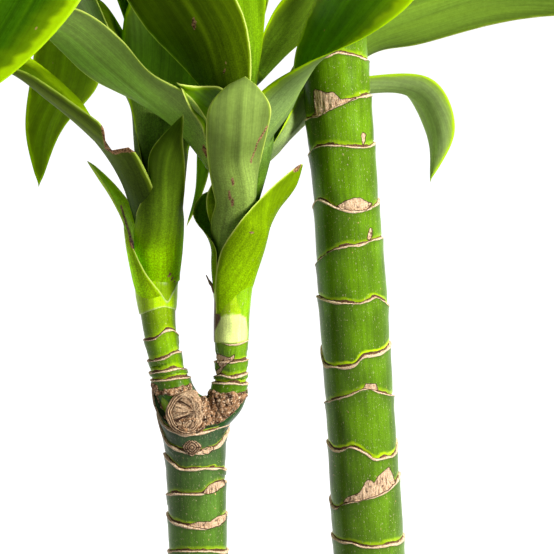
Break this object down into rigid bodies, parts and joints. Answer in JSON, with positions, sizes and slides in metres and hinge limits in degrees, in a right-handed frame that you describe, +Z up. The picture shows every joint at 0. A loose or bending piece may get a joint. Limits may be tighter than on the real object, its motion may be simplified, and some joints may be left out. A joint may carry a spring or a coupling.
{
  "type": "potted corn plant",
  "caption": "House plant with a thick ringed cane and a forked cane with two leafy side shoots, standing in soil in a plain round pot; broad arching strap leaves.",
  "frame": {"origin": "centre of the flat underside of the pot", "axes": "+Z up along the pot's axis, -Y towards the viewer of the picture, +X to the viewer's right, where the thick cane stands"},
  "size_m": [0.5124, 0.5088, 1.1623],
  "materials": {
    "terracotta": "matte",
    "soil": "rough",
    "cane": "satin",
    "leaf": "satin",
    "young_leaf": "satin"
  },
  "bodies": {
    "root": {"pot": "terracotta", "potting_soil": "soil", "tall_cane": "cane", "forked_cane": "cane", "left_heart": "young_leaf", "left_leaf_01": "leaf", "left_leaf_02": "leaf", "left_leaf_03": "leaf", "left_leaf_04": "leaf", "left_leaf_05": "leaf", "left_leaf_06": "leaf", "left_leaf_07": "leaf", "left_leaf_08": "leaf", "left_leaf_09": "leaf", "left_leaf_10": "leaf", "right_heart": "young_leaf", "right_leaf_01": "leaf", "right_leaf_02": "leaf", "right_leaf_03": "leaf", "right_leaf_04": "leaf", "right_leaf_05": "leaf", "right_leaf_06": "leaf", "right_leaf_07": "leaf", "right_leaf_08": "leaf", "right_leaf_09": "leaf", "right_leaf_10": "leaf", "right_leaf_11": "leaf", "right_leaf_12": "leaf", "right_leaf_13": "leaf", "right_leaf_14": "leaf", "tall_heart": "young_leaf", "tall_leaf_01": "leaf", "tall_leaf_02": "leaf", "tall_leaf_03": "leaf", "tall_leaf_04": "leaf", "tall_leaf_05": "leaf", "tall_leaf_06": "leaf", "tall_leaf_07": "leaf", "tall_leaf_08": "leaf", "tall_leaf_09": "leaf", "tall_leaf_10": "leaf", "tall_leaf_11": "leaf", "tall_leaf_12": "leaf", "tall_leaf_13": "leaf", "tall_leaf_14": "leaf", "tall_leaf_15": "leaf", "tall_leaf_16": "leaf", "tall_leaf_17": "leaf"}
  },
  "joints": []
}
